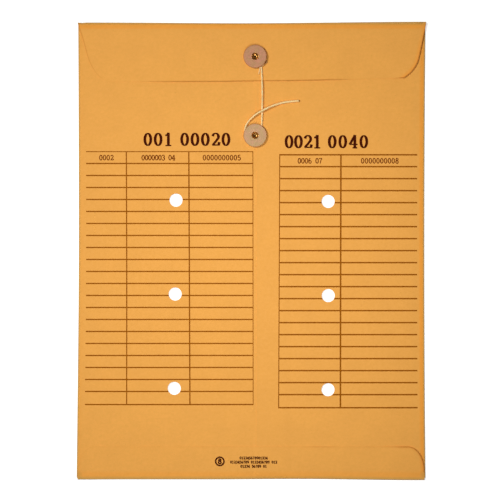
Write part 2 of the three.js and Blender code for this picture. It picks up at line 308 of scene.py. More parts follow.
KRAFT = kraft_material("kraft_paper", colour(248, 174, 76))
UPPER_FIBRE = fibre_material("button_fibre", colour(205, 150, 113))
LOWER_FIBRE = fibre_material("button_fibre_pale", colour(210, 169, 126))
BRASS = brass_material("eyelet_brass", colour(214, 160, 88), colour(150, 104, 52))
CLEAN_TONES = colour(255, 210, 138), colour(255, 234, 178), colour(250, 198, 118)
# A darker copy of the cotton is painted shade: for the knot loop in the upper button's shadow, and for the
# fibres at the string's bare end, where its shadow falls.
SHADED_TONES = colour(170, 116, 62), colour(206, 150, 88), colour(140, 90, 44)
COTTON = cotton_material("cotton_string", *CLEAN_TONES)
SHADED_COTTON = cotton_material("shaded_cotton", *SHADED_TONES)
HEAVY_INK = ink_material("heavy_ink", colour(64, 14, 0), colour(88, 26, 0))
TEXT_INK = ink_material("text_ink", colour(112, 46, 0), colour(134, 62, 0))
LINE_INK = ink_material("line_ink", colour(146, 77, 2), colour(172, 100, 9))
GUM_LOOK = mottled_material("dry_gum", colour(217, 192, 138), colour(190, 150, 90), 300, 0.5, 0.04)
BOARD = mottled_material("backing_board", colour(156, 132, 100), colour(120, 98, 70), 900, 0.9, 0.08)


# Meshes

def read_numbers(items, key, kind):
    """One number for each face, edge or corner of a mesh."""
    numbers = np.empty(len(items), kind)
    items.foreach_get(key, numbers)
    return numbers


def mark_sharp(mesh):
    """Keep the smooth faces of a sheet apart from the flat faces of its cut edge."""
    smooth_faces = read_numbers(mesh.polygons, "use_smooth", bool)
    sizes = read_numbers(mesh.polygons, "loop_total", np.int32)
    edges = read_numbers(mesh.loops, "edge_index", np.int32)
    sharp = np.zeros(len(mesh.edges), bool)
    sharp[edges[~np.repeat(smooth_faces, sizes)]] = True
    mesh.edges.foreach_set("use_edge_sharp", sharp)


def make_piece(name, vertices, faces, material, uvs=None, flat_faces=(), values=None):
    """An object of one mesh. values names numbers, one a vertex, that its material reads."""
    mesh = bpy.data.meshes.new(name)
    mesh.from_pydata((np.asarray(vertices) * MM).tolist(), [], faces)
    smooth_faces = np.ones(len(faces), bool)
    smooth_faces[list(flat_faces)] = False
    mesh.polygons.foreach_set("use_smooth", smooth_faces)
    if uvs is not None:
        corners = read_numbers(mesh.loops, "vertex_index", np.int32)
        layer = mesh.uv_layers.new(name="sheet")
        layer.uv.foreach_set("vector", (np.asarray(uvs) * MM)[corners].astype(np.float32).ravel())
    for key, numbers in (values or {}).items():
        attribute = mesh.attributes.new(key, "FLOAT", "POINT")
        attribute.data.foreach_set("value", np.asarray(numbers, np.float32))
    mesh.materials.append(material)
    mesh.validate()
    mesh.update()
    if len(flat_faces):
        mark_sharp(mesh)
    return add_object(name, mesh)


def sides_of(path, closed=False):
    """The straight sides of a path, as pairs of ends."""
    path = np.asarray(path, float)
    return list(zip(path, np.roll(path, -1, axis=0) if closed else path[1:]))


def inside(points, loop):
    """Which points lie inside a closed loop."""
    x, y = points.T
    result = np.zeros(len(points), bool)
    for (x0, y0), (x1, y1) in sides_of(loop, closed=True):
        if y0 != y1:
            crosses = (y0 > y) != (y1 > y)
            result ^= crosses & (x < (x1 - x0) * (y - y0) / (y1 - y0) + x0)
    return result


def circle(centre, radius, count=56):
    angles = np.linspace(0, 2 * math.pi, count, endpoint=False)
    return np.stack([centre[0] + radius * np.cos(angles), centre[1] + radius * np.sin(angles)], 1)


def clear_of(points, holes):
    """Which points lie outside all the holes. Each hole is a centre and a radius."""
    clear = np.ones(len(points), bool)
    for hole in holes:
        clear &= ~inside(points, circle(*hole))
    return clear


def distance_to(points, sides):
    """How far each point is from the nearest of some straight sides."""
    best = np.full(len(points), np.inf)
    for start, end in sides:
        side = end - start
        share = np.clip(((points - start) @ side) / max(side @ side, 1e-12), 0, 1)
        best = np.minimum(best, norm(points - start - share[:, None] * side, axis=1))
    return best


# The shortest piece that a side is cut into
LEAST_PIECE = 0.05


def cut_at(loop, u_lines, v_lines):
    """The loop again, with a point wherever a side crosses a grid line."""
    result = []
    for start, end in sides_of(loop, closed=True):
        shares = []
        for cuts, begin, span in zip((u_lines, v_lines), start, end - start):
            if abs(span) > 1e-9:
                shares += [s for s in (cuts - begin) / span if 0 < s < 1]
        kept = [0.0]
        least = LEAST_PIECE / norm(end - start)
        for share in sorted(shares):
            if share - kept[-1] > least and 1 - share > least:
                kept.append(share)
        result += [start + (end - start) * share for share in kept]
    return np.array(result)


def spline(points, spacing):
    """A smooth line through the points: a centripetal Catmull-Rom curve."""
    points = [np.array(p, float) for p in points]
    chain = [2 * points[0] - points[1]] + points + [2 * points[-1] - points[-2]]
    result = []
    for i in range(1, len(chain) - 2):
        p = chain[i - 1 : i + 3]
        t = [0.0]
        for a, b in zip(p, p[1:]):
            t.append(t[-1] + math.sqrt(norm(b - a)))
        count = max(2, round(norm(p[2] - p[1]) / spacing))
        for k in range(count):
            s = t[1] + (t[2] - t[1]) * k / count
            a = [(p[j] * (t[j + 1] - s) + p[j + 1] * (s - t[j])) / (t[j + 1] - t[j]) for j in range(3)]
            b = [(a[j] * (t[j + 2] - s) + a[j + 1] * (s - t[j])) / (t[j + 2] - t[j]) for j in range(2)]
            result.append((b[0] * (t[2] - s) + b[1] * (s - t[1])) / (t[2] - t[1]))
    result.append(chain[-2])
    return np.array(result)


# Rows of points that run beside a free cut edge, so that painted shade can lie along it and it can curl
BESIDE_ROWS = (0.4, 0.9, 1.9, 3.1)
BESIDE_STEP = 1.4
BESIDE_LEAST = 0.4
# How far grid points keep from those rows and from holes, from any side, and from a slanted side
ROW_ROOM, SIDE_ROOM, SLANT_ROOM = 0.6, 0.04, 0.7


def beside(path, outline):
    """Rows of points inside an outline that follow its cut edge, which the path gives."""
    rows = []
    for distance in BESIDE_ROWS:
        found = []
        for start, end in sides_of(path):
            length = norm(end - start)
            left = np.array([start[1] - end[1], end[0] - start[0]]) / length * distance
            count = max(1, round(length / BESIDE_STEP))
            found += [start + (end - start) * (k + 0.5) / count + left for k in range(count)]
        found = np.array(found)
        clear = distance_to(found, sides_of(outline, closed=True)) > 0.95 * distance
        found = found[inside(found, outline) & clear]
        kept = [found[0]]
        for point in found[1:]:
            if norm(point - kept[-1]) > BESIDE_LEAST:
                kept.append(point)
        rows += kept
    return np.array(rows)


def add_loop(points, edges, loop):
    """Add a closed loop to a list of points and a list of the edges between them."""
    first, count = len(points), len(loop)
    points += list(loop)
    edges += [(first + i, first + (i + 1) % count) for i in range(count)]


def delaunay(points, edges, polygons, least):
    """Triangles between the points, only in the polygons if there are any: places, corners, middles."""
    found = delaunay_2d_cdt([Vector(p) for p in points], edges, polygons, 0, least)
    places = np.array([tuple(p) for p in found[0]])
    faces = [f for f, origin in zip(found[2], found[5]) if len(f) == 3 and (origin or not polygons)]
    faces = np.array(faces)
    return places, faces, places[faces].mean(1)


def slivers(places, faces):
    """Which triangles are no more than a line: three points of one straight side."""
    a, b, c = (places[faces[:, k]] for k in range(3))
    doubled_area = np.abs((b - a)[:, 0] * (c - a)[:, 1] - (b - a)[:, 1] * (c - a)[:, 0])
    longest = np.max([norm(p - q, axis=1) for p, q in ((a, b), (b, c), (c, a))], axis=0)
    return doubled_area < 0.001 * longest


def triangulated(outline, holes, u_lines, v_lines, cut_edge=None):
    """Points and triangles that fill an outline with holes, on a grid of the given lines."""
    outline = np.array(outline, float)
    sides = sides_of(outline, closed=True)
    slanted = [(a, b) for a, b in sides if (abs(b - a) > 1e-9).all()]
    grid = np.array([(u, v) for u in u_lines for v in v_lines])
    grid = grid[inside(grid, outline)]
    grid = grid[distance_to(grid, sides) > SIDE_ROOM]
    grid = grid[distance_to(grid, slanted) > SLANT_ROOM]
    if cut_edge is not None:
        grid = grid[distance_to(grid, sides_of(cut_edge)) > BESIDE_ROWS[-1] + ROW_ROOM]
        grid = np.concatenate([grid, beside(cut_edge, outline)])
    for centre, radius in holes:
        grid = grid[norm(grid - centre, axis=1) > radius + ROW_ROOM]
    points, edges = list(grid), []
    for loop in [cut_at(outline, u_lines, v_lines)] + [circle(*hole) for hole in holes]:
        add_loop(points, edges, loop)
    places, faces, middles = delaunay(points, edges, [], 1e-7)
    return places, faces[inside(middles, outline) & ~slivers(places, faces) & clear_of(middles, holes)]


# Where the inner side of a sheet lies in its texture, clear of the outer side
INNER_PLACE = (400, 0)


def sheet_piece(name, flat, surface, thickness, material, tinted_by=None, edge_shading=None, outside=1):
    """A closed sheet from flat points and triangles, bent by surface(u, v), which gives its middle layer.

    outside is 1 or -1: which side of the flat sheet is its outside.
    """
    places, faces = flat
    used, faces = np.unique(faces, return_inverse=True)
    faces = faces.reshape(-1, 3)
    places = places[used]
    u, v = places.T
    step = 1e-3
    middle = surface(u, v)
    along_u = surface(u + step, v) - surface(u - step, v)
    along_v = surface(u, v + step) - surface(u, v - step)
    normal = np.cross(along_u, along_v) * outside
    normal /= norm(normal, axis=1)[:, None]
    first, second = (places[faces[:, k]] - places[faces[:, 0]] for k in (1, 2))
    inverted = outside * (first[:, 0] * second[:, 1] - first[:, 1] * second[:, 0]) < 0
    faces[inverted] = faces[inverted][:, ::-1]
    count = len(places)
    vertices = np.concatenate([middle + normal * thickness / 2, middle - normal * thickness / 2])
    triangles = faces.tolist()
    sides = dict.fromkeys(side for a, b, c in triangles for side in ((a, b), (b, c), (c, a)))
    walls = [(b, a, a + count, b + count) for a, b in sides if (b, a) not in sides]
    everything = triangles + (faces[:, ::-1] + count).tolist() + walls
    flat_faces = range(2 * len(faces), len(everything))
    uvs = np.concatenate([places * (outside, 1), places + INNER_PLACE])
    # Painted light and shade beside the folds and along the cut edges, as numbers that the paper's material
    # reads.
    values = fold_shading(middle, tinted_by) if tinted_by else {}
    for key, numbers in (edge_shading(places) if edge_shading else {}).items():
        values[key] = np.maximum(values.get(key, 0), np.tile(numbers, 2))
    return make_piece(name, vertices, everything, material, uvs, flat_faces, values)


# The shape of the envelope: where it is drawn in, how it swells, and what its layers lie on

def smooth(value, low, high):
    """Rises from 0 at low to 1 at high."""
    share = np.clip((value - low) / (high - low), 0, 1)
    return share * share * (3 - 2 * share)


def fade(value, low, high):
    """Falls from 1 at low to 0 at high."""
    return 1 - smooth(value, low, high)


def window(value, start, full, falling, end):
    """Rises from 0 at start to 1 at full, and falls again from falling to 0 at end."""
    return smooth(value, start, full) * fade(value, falling, end)


# How far each side is drawn in before it bows, where the left one stands out instead, and how
# much more at its waist. The left one also leans in toward the top.
LEFT_IN, RIGHT_IN = -0.7, 0.2
LEFT_BOW, RIGHT_BOW = 0.5, 0.9
LEFT_LEAN = 1.2
CREASE_TILT = 0.0022


def out_of_true(x, y):
    """The sides of a folded envelope bow inward, and its top crease isn't quite square."""
    waist = 1 - (y / HALF_HEIGHT) ** 2
    left = LEFT_BOW * waist + LEFT_LEAN * smooth(y, -205, 20) + LEFT_IN
    right = RIGHT_BOW * waist + RIGHT_IN
    reach = np.clip(np.abs(x) / HALF_WIDTH, 0, 1) ** 3
    return x + np.where(x < 0, left, -right) * reach, y + CREASE_TILT * x * smooth(y, 60, 160)


def laid(x, y, z):
    """Points of a layer, drawn out of true as the whole envelope is."""
    return np.stack([*out_of_true(x, y), np.broadcast_to(z, x.shape)], 1)


# How wide the painted shade on the rim of each fold is, and where the painted light of its deeper band ends
RIM_WIDTHS = {"left": 1.3, "right": 1.5, "top": 2.1, "bottom": 1.9}
BAND_ENDS = {"left": 4.0, "right": 4.3, "top": 5.4, "bottom": 6.0}
# The right side also has a faint second crease, painted as a band of shade: how strong it is, and where it
# starts and ends
SECOND_CREASE = 0.1
SECOND_PLACE = (4.5, 5.6, 6.5, 8.5)


def fold_shading(middle, sides):
    """How much painted shade (rim) and painted light (band) each point of a sheet gets from the named folds
    beside it.
    """
    x, y, _ = middle.T
    distances = {
        "left": x - out_of_true(np.full(len(x), -HALF_WIDTH), y)[0],
        "right": out_of_true(np.full(len(x), HALF_WIDTH), y)[0] - x,
        "bottom": y + HALF_HEIGHT,
        "top": HALF_HEIGHT - 0.4 - y,
        "seam": x - SEAM_EDGE,
    }
    rim, band = np.zeros((2, len(x)))
    for side, strength in sides.items():
        distance = distances[side]
        # At the seam, a painted line of shade along the edge of the panel on top.
        if side == "seam":
            rim = np.maximum(rim, strength * fade(distance, 0.15, 0.5))
            continue
        width, end = RIM_WIDTHS[side], BAND_ENDS[side]
        rim = np.maximum(rim, fade(distance, 0.35 * width, 1.15 * width))
        band = np.maximum(band, strength * window(distance, 0.5, 1.4, end - 1.8, end))
        if side == "right":
            rim = np.maximum(rim, SECOND_CREASE * window(distance, *SECOND_PLACE))
    return {"fold_rim": np.tile(rim, 2), "fold_band": np.tile(band, 2)}


# How high the swell of the back panels is, and how it dies out round the button and at the folds
PUFF = 0.32
STILL_RADIUS = 13.0
STILL_FADE = 16.0
EDGE_FADE = 22.0


def swell(x, y):
    """How far the back panels stand above flat: broad, low waves that die out at folds and button."""
    waves = (
        0.45 * np.sin(x / 31 + 0.8) * np.sin(y / 47 + 0.4)
        + 0.35 * np.sin((x + 0.6 * y) / 23 + 2.0)
        + 0.25 * np.sin((x - 1.4 * y) / 39 + 0.7)
        + 0.55
    )
    still = smooth(np.hypot(x - BUTTON_X, y - LOWER_Y), STILL_RADIUS, STILL_RADIUS + STILL_FADE)
    sides = smooth(HALF_WIDTH - np.abs(x), 1, EDGE_FADE)
    ends = smooth(HALF_HEIGHT - np.abs(y), 1, EDGE_FADE)
    return PUFF * waves * still * sides * ends


SEAM_RAMP = (SEAM_END + 0.3, SEAM_END + 7.5)
RAMP_LINES = np.arange(SEAM_RAMP[0] - 0.6, SEAM_RAMP[1] + 0.7, 0.6)


def seam_step(x):
    """The right back panel, and all above it, is raised where it lies on the left one."""
    return (PAPER + GUM) * fade(x, *SEAM_RAMP)


def ramped_step(x, ramp):
    """The same step for what lies across the seam: it comes up over a ramp before the seam's edge."""
    return seam_step(x) * smooth(x, SEAM_EDGE - ramp, SEAM_EDGE)


def back_top(x, y):
    """The height of the uppermost back panel, on its outside."""
    return BACK_TOP + swell(x, y) + np.where(x >= SEAM_EDGE, seam_step(x), 0)


def rolled(distance, radius):
    """How far a folded sheet has come inward from its crease, and its height from the fold's axis."""
    turn = math.pi * radius
    angle = np.clip(distance, 0, turn) / radius
    inward = np.where(distance < turn, -radius * np.sin(angle), distance - turn)
    return inward, -radius * np.cos(angle)


def lines(*stretches):
    """Grid lines: each stretch is (start, end, spacing)."""
    values = []
    for start, end, spacing in stretches:
        count = max(1, round(abs(end - start) / spacing))
        values += list(np.linspace(start, end, count + 1))
    return np.unique(np.round(values, 4))


HOLE_RADIUS = 4.7625
LEFT_HOLES = [(-55.0, 36.7), (-55.6, -31.5), (-56.2, -100.0)]
RIGHT_HOLES = [(55.7, 35.8), (55.8, -32.6), (55.6, -101.0)]
BARREL_HOLE = 1.7
PANEL_GRID = 4.0
FOLD_GRID = 0.13


def rectangle(left, right, bottom, top, holes=()):
    outline = [(left, bottom), (right, bottom), (right, top), (left, top)]
    columns, rows = lines((left, right, PANEL_GRID)), lines((bottom, top, PANEL_GRID))
    return triangulated(outline, holes, columns, rows)


def front_sheet():
    """The front panel, flat on the table between its creases."""
    holes = [(place, HOLE_RADIUS) for place in LEFT_HOLES + RIGHT_HOLES]
    flat = rectangle(-SIDE_CREASE, SIDE_CREASE, BOTTOM_CREASE, TOP_CREASE, holes)
    piece = sheet_piece("front_sheet", flat, lambda x, y: laid(x, y, PAPER / 2), PAPER, KRAFT)
    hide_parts("front_panel")
    return piece


SIDE_RADIUS = (BACK_TOP - PAPER) / 2
SIDE_TURN = math.pi * SIDE_RADIUS
# The mouth of the pocket is cut lower than the shoulders at its side folds, and rises to each
# of them: how far in from the fold the shoulder ends, and the level mouth begins
SHOULDER = TOP_CREASE - 0.7
SHOULDER_REACH, MOUTH_REACH = 4, 9


def back_sheet(name, side, inner_edge, viewing_holes, *nodes):
    """A side fold and the back panel that it turns into. The flat sheet is measured from the crease.

    side is -1 for the left one, and 1 for the right one, which lies on the left one at the seam.
    """
    def to_flat(x):
        return np.abs(x - side * SIDE_CREASE) + SIDE_TURN

    raised = side > 0
    reach = to_flat(inner_edge)
    foot = BOTTOM_CREASE + 0.3
    outline = [(0, foot), (reach, foot), (reach, MOUTH), (SIDE_TURN + MOUTH_REACH, MOUTH)]
    outline += [(SIDE_TURN + SHOULDER_REACH, SHOULDER), (0, SHOULDER)]
    columns = lines(
        (0, SIDE_TURN, FOLD_GRID),
        (SIDE_TURN, SIDE_TURN + 0.6, 0.2),
        (SIDE_TURN + 0.6, SIDE_TURN + 4.2, 0.9),
        (SIDE_TURN + 4.2, reach, 2.6 if raised else PANEL_GRID),
    )
    if raised:
        columns = np.unique(np.concatenate([columns, to_flat(RAMP_LINES)]))
    holes = [((to_flat(x), y), HOLE_RADIUS) for x, y in viewing_holes]
    holes.append(((to_flat(BUTTON_X), LOWER_Y), BARREL_HOLE))

    def surface(u, v):
        inward, height = rolled(u, SIDE_RADIUS)
        x = side * (SIDE_CREASE - inward)
        step = seam_step(x) if raised else 0
        return laid(x, v, BACK_TOP / 2 + height + (swell(x, v) + step) * smooth(u, SIDE_TURN, SIDE_TURN + 1))

    flat = triangulated(outline, holes, columns, lines((foot, MOUTH, PANEL_GRID)))
    # The right panel gets a painted line of shade along its edge at the seam.
    tinted_by = {"right": 1.0, "seam": 0.12} if raised else {"left": 0.1}
    piece = sheet_piece(name, flat, surface, PAPER, KRAFT, tinted_by, outside=-side)
    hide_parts(*nodes)
    return piece


def gum_strip(name, node, over):
    """A thin coat of dry gum on the back panels, raised by over(x)."""
    (left, bottom, _), (right, top, _) = box_mm(node)

    def surface(x, y):
        return laid(x, y, BACK_TOP + swell(x, y) + over(x) + GUM / 2)

    piece = sheet_piece(name, rectangle(left, right, bottom, top), surface, GUM * 0.8, GUM_LOOK)
    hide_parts(node)
    return piece


BOTTOM_FLAP_TOP = BACK_TOP + GUM + PAPER
BOTTOM_RADIUS = (BOTTOM_FLAP_TOP - PAPER) / 2
BOTTOM_TURN = math.pi * BOTTOM_RADIUS
BOTTOM_DEPTH = box_mm("bottom_flap")[1][1] - BOTTOM_CREASE + 0.6
BOTTOM_CORNER_WIDTH = 11.8
BOTTOM_CORNER_HEIGHT = 18.2
# How far the right corner of the bottom flap lifts
CORNER_LIFT = 1.1
# Where along the bottom flap's edge its painted shade shows, and how much: (x, share)
BOTTOM_EDGE_SHOWS = [
    (-130, 0.08), (36, 0.08), (44, 0.36), (58, 0.3),
    (66, 0.08), (90, 0.12), (103, 0.35), (110, 1.0),
]


def cut_edge_shade(places, edge, start, end, shows):
    """How much brown painted shade lies along a cut edge: the share that shows gives, up to start, and none
    past end.
    """
    return fade(distance_to(places, sides_of(edge)), start, end) * np.interp(places[:, 0], *zip(*shows))


def bottom_flap_rise(x, y):
    """How far the bottom flap stands above flat: it follows the panels, and its right corner lifts."""
    corner = CORNER_LIFT * smooth(x, 90, 121) * smooth(y - BOTTOM_CREASE, 1, 22)
    return swell(x, y) + ramped_step(x, 1.8) + corner


def bottom_drop(x):
    """How far down the bottom crease wanders from straight, mostly at its right and left ends."""
    middle = 0.3 * smooth(-x, -30, 30) - 0.2
    return middle + 0.87 * smooth(x, 35, 120) + 0.15 * smooth(-x, 90, 125)


def bottom_sheet():
    """The bottom fold and the flap that it turns into, glued over the back panels."""
    reach = BOTTOM_DEPTH + BOTTOM_TURN
    corner = reach - BOTTOM_CORNER_HEIGHT
    free_edge = []
    for side, angles in ((1, range(0, 91, 6)), (-1, range(90, -1, -6))):
        for angle in map(math.radians, angles):
            x = SIDE_CREASE - BOTTOM_CORNER_WIDTH * (1 - math.cos(angle))
            free_edge.append((side * x, corner + BOTTOM_CORNER_HEIGHT * math.sin(angle)))
    outline = [(-SIDE_CREASE, 0), (SIDE_CREASE, 0)] + free_edge
    seam = np.concatenate([np.arange(SEAM_EDGE - 2.4, SEAM_EDGE + 0.9, 0.3), RAMP_LINES])
    columns = np.unique(np.concatenate([lines((-SIDE_CREASE, SIDE_CREASE, PANEL_GRID)), seam]))
    rows = lines((0, BOTTOM_TURN, FOLD_GRID), (BOTTOM_TURN, reach, 2.0))

    def surface(x, v):
        inward, height = rolled(v, BOTTOM_RADIUS)
        y = BOTTOM_CREASE + inward
        rise = bottom_flap_rise(x, y) * smooth(v, BOTTOM_TURN, BOTTOM_TURN + 1)
        drop = bottom_drop(x) * smooth(v, 0, 0.45 * BOTTOM_TURN) * fade(inward, 0, 10)
        return laid(x, y, BOTTOM_FLAP_TOP / 2 + height + rise) - np.stack([0 * drop, drop, 0 * drop], 1)

    def edge_shading(places):
        # A brown line of painted shade along the free edge, for the shadow under it.
        return {"cut_edge": cut_edge_shade(places, free_edge, 0.2, 1.2, BOTTOM_EDGE_SHOWS)}

    flat = triangulated(outline, [], columns, rows, free_edge)
    tinted_by = {"bottom": 0.5, "left": 0.1, "right": 0.8}
    piece = sheet_piece("bottom_flap_sheet", flat, surface, PAPER, KRAFT, tinted_by, edge_shading)
    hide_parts("bottom_flap", "bottom_fold")
    return piece


TOP_RADIUS = (FLAP_TOP - PAPER) / 2
TOP_TURN = math.pi * TOP_RADIUS
# The cut edge of the top flap, from its right end at the crease round to its left end
FLAP_RIGHT_SIDE = [
    (126.6, 164.6), (125.7, 159.6), (123.1, 147.4), (121.6, 140.7),
    (120.2, 136.1), (117.4, 131.4), (114.5, 128.3), (110.8, 125.5),
]
FLAP_FREE_SIDE = [
    (110.8, 125.5), (75.0, 124.4), (57.4, 124.05), (35.6, 123.5),
    (-3.7, 123.15), (-20.0, 122.85), (-51.7, 122.7), (-98.0, 122.75),
]
FLAP_LEFT_SIDE = [
    (-98.0, 122.75), (-104.2, 123.4), (-109.6, 125.6), (-113.5, 129.6),
    (-117.2, 135.9), (-119.6, 142.6), (-121.8, 151.1), (-124.0, 158.3), (-126.05, 164.6),
]
# How far the top crease is pressed in at its middle, and the flap's right edge curls up
TOP_PRESS = 0.8
CURL = 0.14
# Where along the top flap's edge its painted shade shows, and how much: (x, share)
TOP_EDGE_SHOWS = [
    (-127, 0.6), (-121, 0.55), (-114, 0.3), (-104, 0.0), (-82, 0.0), (-58, 0.55), (-40, 0.75),
    (56, 0.75), (70, 0.0), (104, 0.0), (110, 0.95), (130, 0.95),
]


def flap_gap(x):
    """How far the free edge of the top flap stands off the back: most in its middle, and at its right."""
    return 0.03 + 0.85 * window(x, -86, -54, 58, 78) + 0.35 * smooth(x, 102, 114)


def flap_fall(x, depth):
    """How far down the flap comes, from 0 for level to 1 for lying on the back.

    It comes down at its left, along its free edge and right of the middle. The washer holds it up.
    """
    left = 0.97 * smooth(depth, 1, 20) * smooth(-x, 20, 100)
    edge = smooth(depth, 27, 41) * (1 - 0.85 * smooth(x, 98, 114))
    right = 0.4 * smooth(depth, 4, 30) * window(x, 30, 65, 80, 112)
    washer = np.hypot((x - BUTTON_X) / 1.6, TOP_CREASE - depth - UPPER_Y)
    return (1 - (1 - left) * (1 - edge) * (1 - right)) * smooth(washer, 6.2, 11)


def top_sheet():
    """The top fold and the flap, which lies on the washer in the middle and droops around it."""
    def to_flat(x, y):
        return np.array((x, TOP_TURN + TOP_CREASE + CREASE_TILT * x - y))

    right, left = spline(FLAP_RIGHT_SIDE, 1.2), spline(FLAP_LEFT_SIDE, 1.2)
    free = spline(FLAP_FREE_SIDE, 4.0)
    free_edge = np.array([to_flat(x, y) for x, y in np.concatenate([right[:-1], free[:-1], left])])
    left_end, right_end = free_edge[-1][0], free_edge[0][0]
    outline = [(left_end, 0), (right_end, 0), *free_edge]
    right_side = sides_of(free_edge[: len(right)])
    rows = lines(
        (0, TOP_TURN, 0.2),
        (TOP_TURN, TOP_TURN + 1, 0.25),
        (TOP_TURN + 1, TOP_TURN + 8, 1.0),
        (TOP_TURN + 8, TOP_TURN + 43, 1.75),
    )

    def surface(x, v):
        inward, height = rolled(v, TOP_RADIUS)
        y = TOP_CREASE - inward
        depth = np.clip(v - TOP_TURN, 0, None)
        fall = flap_fall(x, depth)
        curl = CURL * fade(distance_to(np.stack([x, v], 1), right_side), 0, 3.4) * smooth(depth, 3, 12)
        level = FLAP_TOP / 2 + height - CURL * smooth(x, 90, 122) * smooth(depth, 1, 14)
        rest = back_top(x, np.minimum(y, MOUTH - 4)) + PAPER / 2 + flap_gap(x)
        rest = np.minimum(rest, FLAP_TOP - PAPER / 2)
        z = level * (1 - fall) + rest * fall + curl
        pressed = TOP_PRESS * fade(np.abs(x), 0, 125) * smooth(v, 0, 0.45 * TOP_TURN)
        return np.stack([x, y + CREASE_TILT * x - pressed * fade(depth, 0, 8), z], 1)

    def edge_shading(places):
        return {
            # A brown line of painted shade along the cut edge, for the shadow under it.
            "cut_edge": cut_edge_shade(places, free_edge, 0.1, 0.9, TOP_EDGE_SHOWS),
            # Painted light: a deeper orange band inside the right edge, which curls up toward the light.
            "fold_band": 0.7 * fade(distance_to(places, right_side), 1.2, 3.1),
        }

    hole = (to_flat(BUTTON_X, UPPER_Y), BARREL_HOLE)
    flat = triangulated(outline, [hole], lines((left_end, right_end, 3.0)), rows, free_edge)
    piece = sheet_piece("top_flap_sheet", flat, surface, PAPER, KRAFT, {"top": 0.8}, edge_shading, -1)
    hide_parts("top_flap", "top_fold")
    return piece


front = front_sheet()
left = back_sheet("left_back_sheet", -1, SEAM_END, LEFT_HOLES, "back_panel_left", "left_fold")
right = back_sheet("right_back_sheet", 1, SEAM_EDGE, RIGHT_HOLES, "back_panel_right", "right_fold")
bottom = bottom_sheet()
top = top_sheet()
gums = [gum_strip("seam_gum", "centre_seam_gum", lambda x: 0)]
gums.append(gum_strip("bottom_gum", "bottom_flap_gum", lambda x: ramped_step(x, 0.3)))
for piece in (front, left, right, bottom):
    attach(piece, "root")
for piece in gums:
    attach(piece, "root")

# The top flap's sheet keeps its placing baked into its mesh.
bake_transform(top)


# Fasteners

def lathe(name, profile, material, centre, count, wobble, values=None):
    """A closed ring turned about a vertical axis. wobble(radius, angle, height) moves its points.

    values names functions of the radius, for numbers that the material reads.
    """
    vertices, faces = [], []
    rings = len(profile)
    for i, angle in enumerate(np.linspace(0, 2 * math.pi, count, endpoint=False)):
        here, there = i * rings, (i + 1) % count * rings
        for k, (radius, height) in enumerate(profile):
            n = (k + 1) % rings
            r, z = wobble(radius, angle, height)
            vertices.append(centre + (r * math.cos(angle), r * math.sin(angle), z))
            faces.append((here + k, there + k, there + n, here + n))
    spread = {key: np.tile([value(r) for r, _ in profile], count) for key, value in (values or {}).items()}
    return make_piece(name, vertices, faces, material, values=spread)


def bend(centre_r, centre_z, radius, start, end, steps=6):
    """An arc of a profile, between two directions in quarter turns: 0 is outward, 1 is up."""
    turns = [(start + (end - start) * k / steps) * math.pi / 2 for k in range(steps + 1)]
    return [(centre_r + radius * math.cos(a), centre_z + radius * math.sin(a)) for a in turns]


STRING_ROOM = 1.5
DISC_RADIUS = 8.45
DISC_RIM = 0.34
HUB_RADIUS = 3.65
HUB_FOOT = 0.15
DISC_BORE = 1.85
FUNNEL_RADIUS = 2.6
FUNNEL_DEPTH = 0.9
# The ring pressed into a disc's face: (radius, depth)
PRESSED_RING = [(4.15, 0), (3.95, 0.05), (3.75, 0.12), (3.5, 0.12), (3.3, 0.05), (3.1, 0)]


def button_disc(seat, material, body, node, seed):
    """A punched fibre disc on its hub, with a pressed ring, a slight warp and a rough rim."""
    top, edge = BUTTON_TOP, DISC_RADIUS - DISC_RIM
    profile = [(DISC_BORE, HUB_FOOT), (HUB_RADIUS, HUB_FOOT), (HUB_RADIUS, STRING_ROOM - 0.1)]
    profile += [(r, STRING_ROOM) for r in (HUB_RADIUS + 0.1, 5.0, 6.5, 7.6)]
    profile += bend(edge, STRING_ROOM + DISC_RIM, DISC_RIM, -1, 0)
    profile += bend(edge, top - DISC_RIM, DISC_RIM, 0, 1)
    profile += [(r, top) for r in (DISC_RADIUS - 0.6, DISC_RADIUS - 0.8, 7.2, 6.4, 5.5, 4.6)]
    profile += [(r, top - depth) for r, depth in PRESSED_RING]
    profile += [(FUNNEL_RADIUS + 0.25, top - 0.02), (FUNNEL_RADIUS + 0.1, top - 0.12)]
    profile.append((DISC_BORE, top - FUNNEL_DEPTH))

    def wobble(r, angle, height):
        x, y = r * math.cos(angle), r * math.sin(angle)

        def uneven(fineness, shift):
            return noise.noise(Vector((x * fineness, y * fineness, seed + shift)))

        share = max(0.0, (r - 4) / (DISC_RADIUS - 4))
        rough = uneven(1.3, 0) * 0.09 + uneven(4, 5 + height) * 0.05
        warp = 0.07 * share * math.sin(2 * angle + seed)
        dimple = uneven(0.9, 9) * 0.05 * min(1.0, share * 3)
        return r + share ** 3 * rough, height + warp + dimple * (height > STRING_ROOM)

    def rim(r):
        return float(smooth(r, DISC_RADIUS - 0.75, DISC_RADIUS - 0.1))

    piece = lathe(f"{body}_fibre", profile, material, seat, 180, wobble, {"disc_rim": rim})
    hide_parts(node)
    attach(piece, body)


# The funnel steepens inward, then turns in to a ledge with a small bore: (inward from the lip, depth)
THROAT = [
    (0.2, 0.03), (0.3, 0.1), (0.42, 0.22), (0.55, 0.4), (0.7, 0.62), (0.86, 0.84), (1.05, 1.0),
    (1.3, 1.11), (1.6, 1.2), (1.85, 1.28), (1.95, 1.36), (1.95, 1.5), (1.7, 1.75), (1.4, 1.92),
]
EYELET_BORE, BARREL_RADIUS = 1.35, 1.6
ROLL, ROLL_RADIUS, ROLL_GAP = 0.2, 3.0, 0.25
LIP = 0.08


